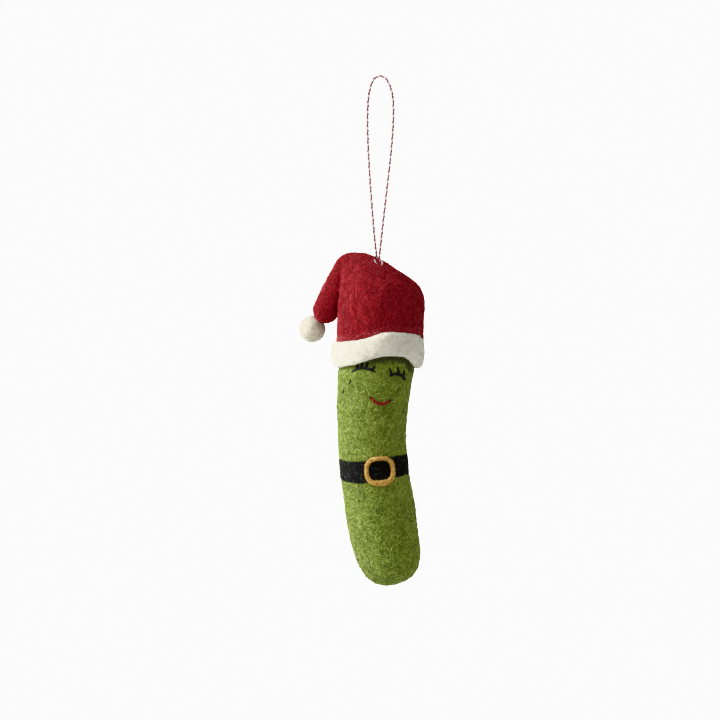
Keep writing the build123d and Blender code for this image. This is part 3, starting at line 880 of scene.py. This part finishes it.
class ORNAMENT_OT_pickle(bpy.types.Operator):
    """Felt the pickle"""

    bl_idname = "ornament.pickle"
    bl_label = "Pickle"

    def execute(self, context):
        pickle, belt = context.scene.pickle_settings, context.scene.belt_settings
        band = context.scene.band_settings
        rings = self.rings(pickle)
        mesh = bmesh.new()

        def place(station, turn):
            centre, side, radius = rings[station]
            return centre + (side * math.cos(turn) - FRONT * math.sin(turn)) * radius

        sweep(mesh, len(rings), 208, place, closed=False)
        self.press_belt(mesh, pickle, belt)
        roughen(mesh, pickle.unevenness, 1)
        deep, body, pale = tuple(pickle.deep), tuple(pickle.body), tuple(pickle.pale)
        top = blend_shade(body, pale, 0.85)
        green = known("green felt", felt, deep, body, top, relief=0.4, pit_depth=0.22, sheen=0.1)
        piece = finished("pickle_felt", mesh, [green])
        dress(piece, "pickle", "green_felt", "pickle_skin", "wool_core")

        stitches = face_places(context.scene)
        near = KDTree(len(stitches))
        for number, point in enumerate(stitches):
            near.insert(point, number)
        near.balance()

        # Fibres keep clear of the stitches and of a strip under the band; the darker bare felt in that strip
        # is painted shade under the band
        def keep(point):
            clear = near.find(point)[2] > CLEAR_OF_STITCHES * MM
            return clear and below_band(band, point) > CLEAR_OF_BAND * MM

        shades = (
            (blend_shade(deep, body, 0.4), 2),
            (blend_shade(body, pale, 0.15), 2),
            (blend_shade(body, pale, 0.55), 3),
            (pale, 4),
            (blend_shade(pale, (0.62, 0.66, 0.28), 0.3), 2),
        )
        fibres = fibre_shades("green fibre", shades)
        count = pickle.fibres
        layers = (("pickle_fibres", 0.4, 11), ("pickle_curls", 0.8, 12), ("pickle_fuzz", 0.6, 15))
        for name, curl, seed in layers:
            fuzz = lay_fibres(name, piece, count, fibres, seed, 3.0, 0.3, lift=0.22, curl=curl, keep=keep)
            dress(fuzz, "pickle", "green_felt")

        # Dark fibres laid under the band's arch: a painted shadow of the band on the pickle
        def at_brow(point):
            inside = BROW_HEADINGS[0] < around_band(band, point) < BROW_HEADINGS[1]
            return inside and BROW_ROOTS[0] * MM < below_band(band, point) < BROW_ROOTS[1] * MM

        def near_brow(point):
            clear = near.find(point)[2] > BROW_CLEAR_OF_STITCHES * MM
            return clear and BROW_REACH[0] * MM < below_band(band, point) < BROW_REACH[1] * MM

        # Greyish dark green of the painted shadow under the band
        moss = blend_shade(deep, (0.10, 0.095, 0.075), 0.75)
        dark = fibre_shades("painted shadow fibre", ((moss, 3), (blend_shade(moss, body, 0.5), 2)))
        tests = {"keep": near_brow, "root": at_brow}
        count = pickle.brow_fibres
        fuzz = lay_fibres("brow_fibres", piece, count, dark, 16, 3.0, 0.28, lift=0.25, curl=0.6, **tests)
        dress(fuzz, "pickle", "green_felt")
        return {"FINISHED"}

    def rings(self, pickle):
        """Sections from the head's dome to the toe's: centre, direction to the right and radius."""
        rings = []
        count = 180
        for number in range(count + 1):
            angle = HEAD_ANGLE + (TOE_ANGLE - HEAD_ANGLE) * number / count
            centre, side, _ = pickle_axes(pickle, angle)
            rings.append((centre, side, pickle_radius(pickle, angle)))
        head = self.dome(pickle, HEAD_ANGLE, 1, 16)
        return head[::-1] + rings + self.dome(pickle, TOE_ANGLE, -1, 40)

    def dome(self, pickle, end, way, count):
        """Sections of a rounded end, from its wide side to the small flat that closes it."""
        centre, side, up = pickle_axes(pickle, end)
        radius = pickle_radius(pickle, end)
        dome = []
        for number in range(1, count + 1):
            share = number / (count + 0.15)
            rest = 1 - share
            reach = radius * (rest**3 + 3 * rest**2 * share * 0.94 + 3 * rest * share**2 * 0.66)
            rise = pickle.dome_height * (3 * rest**2 * share * 0.65 + 3 * rest * share**2 + share**3)
            dome.append((centre + up * way * rise, side, reach))
        return dome

    def press_belt(self, mesh, pickle, belt):
        """Shallow groove that the belt is needled into."""
        depth, margin, slope = 0.55, 0.9 * MM, 1.5 * MM
        centre, side, up = pickle_axes(pickle, BELT_ANGLE)
        for vert in mesh.verts:
            away = vert.co - centre
            heading = math.degrees(math.atan2(away.dot(side), away.dot(FRONT)))
            height = abs(away.dot(up) - belt_offset(belt, heading))
            inside = smooth_step((belt.height / 2 + margin - height) / slope)
            out = away - up * away.dot(up)
            vert.co -= out.normalized() * inside * depth * MM


def lid_route(pickle, face, eye):
    """Eyelid stitch, its ends sunk into the felt."""
    side, spread, half_span, rise, _, _ = EYES[eye]
    route = []
    for number in range(9):
        share = number / 4 - 1
        heading = face.heading + side * (spread - share * half_span)
        lift = (SUNK_END if number in (0, 8) else 0.12) * MM
        height = (LID_ARCH * (1 - share * share) + rise * share) * MM
        route.append(skin_point(pickle, EYE_ANGLE + side * EYE_TILT, heading, height, lift))
    return route


def lash_routes(pickle, face, eye):
    """Lash stitches of two strands each, from the lid upwards, closing towards the tip."""
    side, spread, half_span, rise, _, _ = EYES[eye]
    routes = []
    for root, tip, top, apart in LASHES[eye]:
        low = LID_ARCH * (1 - root * root) + rise * root
        for strand in (-1, 1):
            route = []
            for number in range(5):
                share = number / 4
                place = (root + (tip - root) * share) * half_span
                place += strand * apart * (1 + (LASH_TIP_SHARE - 1) * share)
                lift = LASH_LIFTS[number] * MM
                height = (low + (top - low) * share) * MM
                heading = face.heading + side * (spread - place)
                route.append(skin_point(pickle, EYE_ANGLE + side * EYE_TILT, heading, height, lift))
            routes.append(route)
    return routes


def mouth_route(pickle):
    """Mouth stitch."""
    route = []
    for number in range(9):
        share = number / 4 - 1
        lift = (SUNK_END if number in (0, 8) else 0.15) * MM
        heading = MOUTH_HEADING + share * MOUTH_HALF_SPAN
        height = -(MOUTH_DEPTH * (1 - share * share) + MOUTH_TILT * share) * MM
        route.append(skin_point(pickle, MOUTH_ANGLE, heading, height, lift))
    return route


def face_places(scene):
    """Points along all the stitches of the face."""
    pickle, face = scene.pickle_settings, scene.face_settings
    routes = [mouth_route(pickle)]
    for eye in EYES:
        routes += [lid_route(pickle, face, eye)] + lash_routes(pickle, face, eye)
    return [point for route in routes for point in smooth_line(route, 6)]


class ORNAMENT_OT_face(bpy.types.Operator):
    """Sew the eyelids, lashes and mouth"""

    bl_idname = "ornament.face"
    bl_label = "Face"

    def execute(self, context):
        pickle, face = context.scene.pickle_settings, context.scene.face_settings
        black = known("black thread", yarn, tuple(face.black), (0.02, 0.02, 0.022), roughness=0.55)
        red = known("red thread", yarn, tuple(face.red), (0.40, 0.03, 0.02), roughness=0.55)
        shaded = known("dark red thread", yarn, (0.05, 0.003, 0.002), (0.10, 0.01, 0.006))
        for eye in EYES:
            outer, inner = EYES[eye][4:]
            route = [(lid_route(pickle, face, eye), outer, inner, (0, 0, 0))]
            lid = thread(f"{eye}_eyelid_thread", route, face.lid_thread, 2.4 * MM, [black])
            dress(lid, "pickle", "black_thread", f"{eye}_eyelid")
            routes = [(route, 1.0, 0.6, (0, 0, 0)) for route in lash_routes(pickle, face, eye)]
            lashes = thread(f"{eye}_lash_threads", routes, face.lash_thread, 2.0 * MM, [black])
            dress(lashes, "pickle", "black_thread", f"{eye}_lashes")
        # One of the mouth's three plies is dark red, painted shade of the grooves between the plies
        routes = [(mouth_route(pickle), 1.0, 1.0, (0, 0, 2))]
        # Short black and dark red bits at the mouth's corners: painted shade where the thread sinks into the
        # felt
        for side, slot in ((-1, 2), (1, 1)):
            heading = MOUTH_HEADING + side * (MOUTH_HALF_SPAN + 0.5)
            heights = (height - side * MOUTH_TILT for height in MOUTH_CORNER)
            corner = [skin_point(pickle, MOUTH_ANGLE, heading, height * MM, 0.05 * MM) for height in heights]
            routes.append((corner, 0.55, 0.55, (slot, slot, slot)))
        mouth = thread("mouth_thread", routes, face.mouth_thread, 2.0 * MM, [red, black, shaded])
        dress(mouth, "pickle", "red_thread", "mouth")

        routes = []
        for angle, heading in SPECKS:
            route = []
            for turn, height in SPECK_CURL:
                route.append(skin_point(pickle, angle, heading + turn, height * MM, 0.3 * MM))
            routes.append((route, 1.0, 0.5, (0, 0, 0)))
        specks = thread("dark_specks", routes, 0.95 * MM, 2.0 * MM, [black])
        dress(specks, "pickle", "green_felt")
        return {"FINISHED"}


class ORNAMENT_OT_belt(bpy.types.Operator):
    """Felt the belt and its buckle"""

    bl_idname = "ornament.belt"
    bl_label = "Belt and buckle"

    def execute(self, context):
        pickle, belt = context.scene.pickle_settings, context.scene.belt_settings
        face = context.scene.face_settings
        centre, side, up = pickle_axes(pickle, BELT_ANGLE)
        radius = pickle_radius(pickle, BELT_ANGLE)
        count = 160
        flatness = 0.35

        def strip(station, turn):
            heading = around_ring(station, count)
            around = math.radians(heading)
            wobble = 0.22 * MM * noise.noise(Vector((math.cos(around), math.sin(around), 0)) * 4)
            wobble += 0.25 * MM * bell(heading, BELT_WIDE_HEADING, BELT_WIDE_SPREAD)
            out = signed_power(math.cos(turn), flatness) * BELT_HALF_FELT * MM + belt.proud
            out -= BELT_HALF_FELT * MM
            high = signed_power(math.sin(turn), flatness) * (belt.height / 2 + wobble)
            high += belt_offset(belt, heading)
            return centre + (side * math.sin(around) + FRONT * math.cos(around)) * (radius + out) + up * high

        mesh = bmesh.new()
        sweep(mesh, count, 28, strip, closed=True)
        roughen(mesh, 0.16 * MM, 5)
        black, dust = tuple(belt.black), tuple(belt.dust)
        deep, pale = blend_shade(black, (0, 0, 0), 0.5), (0.010, 0.010, 0.009)
        piece = finished("belt_felt", mesh, [known("black felt", felt, deep, black, pale, sheen=0.0)])
        dress(piece, "pickle", "black_felt", "belt")
        fibres = fibre_shades("black fibre", ((black, 5), (blend_shade(black, dust, 0.06), 3), (dust, 2)))
        fibre_count = belt.belt_fibres
        fuzz = lay_fibres("belt_fibres", piece, fibre_count, fibres, 14, reach=4.0, width=0.14, lift=0.16)
        dress(fuzz, "pickle", "black_felt")

        stations = 96
        squareness = 2.7
        top_bar, low_bar = -0.2, 0.24
        half_width, half_height = belt.buckle_half_width, belt.buckle_half_height

        def ring(station, turn):
            around = 2 * math.pi * station / stations
            x = half_width * signed_power(math.cos(around), 2 / squareness)
            y = half_height * signed_power(math.sin(around), 2 / squareness)
            normal = Vector((signed_power(x / half_width, 1.7), signed_power(y / half_height, 1.7)))
            normal.normalize()
            bar = normal.y * normal.y
            width = belt.buckle_side * (1 + (top_bar if normal.y > 0 else low_bar) * bar)
            width += 0.25 * MM * noise.noise(Vector((math.cos(around), math.sin(around), 0.5)) * 3)
            spread = signed_power(math.cos(turn), 0.85) * width / 2
            out = radius + belt.proud + 0.35 * MM + signed_power(math.sin(turn), 0.95) * belt.buckle_felt / 2
            heading = math.radians(face.heading) + (x + normal.x * spread) / (radius + MM)
            high = y + normal.y * spread - 0.5 * MM + belt_offset(belt, face.heading)
            return centre + (side * math.sin(heading) + FRONT * math.cos(heading)) * out + up * high

        mesh = bmesh.new()
        sweep(mesh, stations, 16, ring, closed=True)
        roughen(mesh, 0.18 * MM, 6)
        gold = tuple(belt.gold)
        light, rust = (1, 0.8, 0.4), (0.2, 0.06, 0.0)
        deep, pale = blend_shade(gold, (0.1, 0.04, 0), 0.5), blend_shade(gold, light, 0.35)
        piece = finished("buckle_felt", mesh, [known("gold felt", felt, deep, gold, pale)])
        dress(piece, "pickle", "gold_felt", "buckle")
        shades = ((gold, 3), (blend_shade(gold, light, 0.5), 4), (blend_shade(gold, rust, 0.7), 1))
        fibres = fibre_shades("gold fibre", shades)
        fibre_count = belt.buckle_fibres
        fuzz = lay_fibres("buckle_fibres", piece, fibre_count, fibres, 13, reach=2.8, width=0.15, curl=0.7)
        dress(fuzz, "pickle", "gold_felt")
        return {"FINISHED"}


class ORNAMENT_OT_hat(bpy.types.Operator):
    """Felt the hat's crown and its folded tail"""

    bl_idname = "ornament.hat"
    bl_label = "Hat"

    def execute(self, context):
        hat = context.scene.hat_settings
        deep, body, pale = tuple(hat.deep), tuple(hat.body), tuple(hat.pale)
        top = blend_shade(body, pale, 0.8)
        red = known("red felt", felt, deep, body, top, stretch=2.6, relief=0.4, pit_depth=0.18, sheen=0.07)
        pink = blend_shade(pale, (0.62, 0.11, 0.14), 0.4)
        fibres = fibre_shades("red fibre", ((blend_shade(body, pale, 0.15), 6), (pale, 5), (pink, 2)))

        crown = self.crown(hat, red)
        dress(crown, "pickle", "red_felt", "hat_crown")

        def keep(point):
            return point.z > CROWN_FIBRE_FOOT * MM

        count = hat.crown_fibres
        for name, curl, grain, seed in (("crown_fibres", 0.2, UP, 21), ("crown_curls", 0.9, None, 23)):
            fuzz = lay_fibres(name, crown, count, fibres, seed, 4.0, 0.24, curl=curl, grain=grain, keep=keep)
            dress(fuzz, "pickle", "red_felt")

        mesh = bmesh.new()
        self.thumb(mesh, hat, root_change=-0.3 * MM, tip_change=0.0, share=1.0)
        roughen(mesh, hat.unevenness, 4)
        tail = finished("hat_tail_felt", mesh, [red])
        fuzz = lay_fibres("tail_fibres", tail, hat.tail_fibres, fibres, 22, reach=4.0, width=0.26)
        root, down, _, _, _ = tail_axes()
        start, end = (root + down * along * MM for along in TAIL_BEND)
        for piece in (tail, fuzz):
            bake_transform(piece)
            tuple(start)
            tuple(end)
        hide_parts("hat_tail")
        return {"FINISHED"}

    def crown(self, hat, material):
        """Crown with the fold's stub grown into it."""
        shoulder = hat.peak_z - hat.dome
        low = CROWN_FOOT * MM
        heights = [low + (shoulder - low) * number / 14 for number in range(14)]
        heights += [shoulder + hat.dome * math.sin(math.pi / 2 * number / 30.3) for number in range(31)]

        def place(station, turn):
            heading = math.degrees(math.atan2(math.cos(turn), -math.sin(turn)))
            height = max(heights[station], sum(band_edges(heading)) / 2)
            x, y, half_width, half_depth = crown_shape(hat, height)
            bulge = 0.0
            for swell, centre, spread in CROWN_SWELLS:
                bulge += swell * bell(height, centre * MM, spread * MM)
            half_width += bulge * MM * max(0.0, math.cos(turn))
            return Vector((x + half_width * math.cos(turn), y + half_depth * math.sin(turn), height))

        mesh = bmesh.new()
        sweep(mesh, len(heights), 96, place, closed=False)
        self.thumb(mesh, hat, root_change=0.1 * MM, tip_change=-0.5 * MM, share=0.14)
        bmesh.ops.recalc_face_normals(mesh, faces=mesh.faces)
        rough = finished("rough", mesh, [])
        remesh = rough.modifiers.new("merge", "REMESH")
        remesh.mode = "VOXEL"
        remesh.voxel_size = CROWN_VOXEL * MM
        bpy.context.view_layer.update()
        merged = bpy.data.meshes.new_from_object(rough.evaluated_get(bpy.context.evaluated_depsgraph_get()))
        bpy.data.objects.remove(rough)
        mesh = bmesh.new()
        mesh.from_mesh(merged)
        bpy.data.meshes.remove(merged)
        fold = TAIL_FOLD * MM
        for number in range(FOLD_ROUNDS):
            reach = (FOLD_REACH - FOLD_SHRINK * number) * MM
            soften(mesh, [vert for vert in mesh.verts if (vert.co - fold).length < reach])
        soften(mesh, mesh.verts)
        roughen(mesh, hat.unevenness, 3)
        return finished("hat_crown_felt", mesh, [material])

    def thumb(self, mesh, hat, root_change, tip_change, share):
        """Blunt thumb along the tail's axis, down to a share of its length.

        The whole tail has a flat root and keeps its change of radius near the root.
        """
        root, down, length, side, across = tail_axes()
        whole = share == 1.0
        length *= share
        tip_radius = hat.root_radius + (hat.tip_radius - hat.root_radius) * share + tip_change
        first = hat.root_radius + root_change
        stations = []
        for number in range(1, 13):
            turn = math.pi / 2 * number / 12
            stations.append((-first * math.cos(turn) * (0.5 if whole else 1.0), first * math.sin(turn)))
        for number in range(1, 25):
            part = number / 24
            change = root_change * (1 - (smooth_step(part * 2.2) if whole else part))
            stations.append((length * part, hat.root_radius + (tip_radius - hat.root_radius) * part + change))
        for number in range(1, 16):
            turn = math.pi / 2 * number / 15.2
            stations.append((length + tip_radius * math.sin(turn), tip_radius * math.cos(turn)))

        def place(station, turn):
            along, radius = stations[station]
            return root + down * along + (side * math.cos(turn) + across * 0.94 * math.sin(turn)) * radius

        sweep(mesh, len(stations), 56, place, closed=False)


class ORNAMENT_OT_band(bpy.types.Operator):
    """Felt the hat's cream band"""

    bl_idname = "ornament.band"
    bl_label = "Hat band"

    def execute(self, context):
        band = context.scene.band_settings
        count = 240
        upper_roundness, lower_roundness = 0.72, 0.86
        middle = (band.outer_radius + band.inner_radius) / 2
        half = (band.outer_radius - band.inner_radius) / 2

        def place(station, turn):
            heading = around_ring(station, count)
            around = math.radians(heading)
            top, bottom = band_edges(heading)
            roundness = upper_roundness if math.sin(turn) > 0 else lower_roundness
            radius = middle + signed_power(math.cos(turn), roundness) * half
            height = (top + bottom) / 2 + signed_power(math.sin(turn), roundness) * (top - bottom) / 2
            return Vector((band.centre_x + radius * math.sin(around), -radius * math.cos(around), height))

        mesh = bmesh.new()
        sweep(mesh, count, 60, place, closed=True)
        roughen(mesh, band.unevenness, 7)
        deep, body, pale = tuple(band.deep), tuple(band.body), tuple(band.pale)
        cream = known("cream felt", felt, deep, body, pale, relief=0.3, glow=0.7, pit_depth=0.25)
        piece = finished("hat_band_felt", mesh, [cream])
        dress(piece, "pickle", "cream_felt", "hat_band")
        fibres = fibre_shades("cream fibre", ((pale, 2), (body, 2), (deep, 1)))
        fuzz = lay_fibres("band_fibres", piece, band.band_fibres, fibres, 31, reach=4.0, width=0.2)
        dress(fuzz, "pickle", "cream_felt")

        def near_edge(point):
            above = (point.z - band_edges(around_band(band, point))[0]) / MM
            return STRAY_REACH[0] < above < STRAY_REACH[1]

        crown = bpy.data.objects["hat_crown_felt"]
        rosy = fibre_shades("rosy fibre", (((0.46, 0.10, 0.12), 3), ((0.55, 0.24, 0.25), 1)))
        strays = band.stray_fibres
        stray = lay_fibres("band_stray_fibres", crown, strays, rosy, 32, 2.6, 0.15, curl=0.7, keep=near_edge)
        dress(stray, "pickle", "cream_felt")
        return {"FINISHED"}


class ORNAMENT_OT_pompom(bpy.types.Operator):
    """Felt the pompom"""

    bl_idname = "ornament.pompom"
    bl_label = "Pompom"

    def execute(self, context):
        band = context.scene.band_settings
        mesh = bmesh.new()
        place = Matrix.Translation(POMPOM_CENTRE * MM)
        bmesh.ops.create_icosphere(mesh, subdivisions=6, radius=band.pompom_radius, matrix=place)
        roughen(mesh, 0.24 * MM, 8)
        tan = (0.36, 0.30, 0.2)
        deep, body, pale = (blend_shade(shade, tan, 0.2) for shade in (band.deep, band.body, band.pale))
        cream = known("pompom felt", felt, deep, body, pale, relief=0.3, glow=0.2, pit_depth=0.3)
        piece = finished("pompom_felt", mesh, [cream])
        dress(piece, "pompom", "cream_felt", "pompom")
        fibres = fibre_shades("pompom fibre", ((pale, 2), (body, 2), (deep, 1)))
        count = band.pompom_fibres
        fuzz = lay_fibres("pompom_fuzz", piece, count, fibres, 33, reach=4.0, width=0.15, lift=0.16)
        dress(fuzz, "pompom", "cream_felt")
        return {"FINISHED"}


OPERATORS = (
    ORNAMENT_OT_stage,
    ORNAMENT_OT_twine,
    ORNAMENT_OT_pickle,
    ORNAMENT_OT_face,
    ORNAMENT_OT_belt,
    ORNAMENT_OT_hat,
    ORNAMENT_OT_band,
    ORNAMENT_OT_pompom,
)


class ORNAMENT_PT_panel(bpy.types.Panel):
    """Lists the steps of the ornament"""

    bl_idname = "ORNAMENT_PT_panel"
    bl_label = "Pickle ornament"
    bl_space_type = "VIEW_3D"
    bl_region_type = "UI"
    bl_category = "Ornament"

    def draw(self, context):
        for operator in OPERATORS:
            self.layout.operator(operator.bl_idname)
        for name, group in SETTINGS.items():
            box = self.layout.box()
            box.label(text=group.__doc__)
            for key in group.__annotations__:
                box.prop(getattr(context.scene, name), key)


CLASSES = (*SETTINGS.values(), *OPERATORS, ORNAMENT_PT_panel)


def register():
    for kind in CLASSES:
        bpy.utils.register_class(kind)
    for name, group in SETTINGS.items():
        setattr(bpy.types.Scene, name, bpy.props.PointerProperty(type=group))


def unregister():
    for name in SETTINGS:
        delattr(bpy.types.Scene, name)
    for kind in reversed(CLASSES):
        bpy.utils.unregister_class(kind)


def main():
    register()
    bpy.ops.ornament.stage()
    bpy.ops.ornament.twine()
    bpy.ops.ornament.pickle()
    bpy.ops.ornament.face()
    bpy.ops.ornament.belt()
    bpy.ops.ornament.hat()
    bpy.ops.ornament.band()
    bpy.ops.ornament.pompom()


if __name__ == "__main__":
    main()
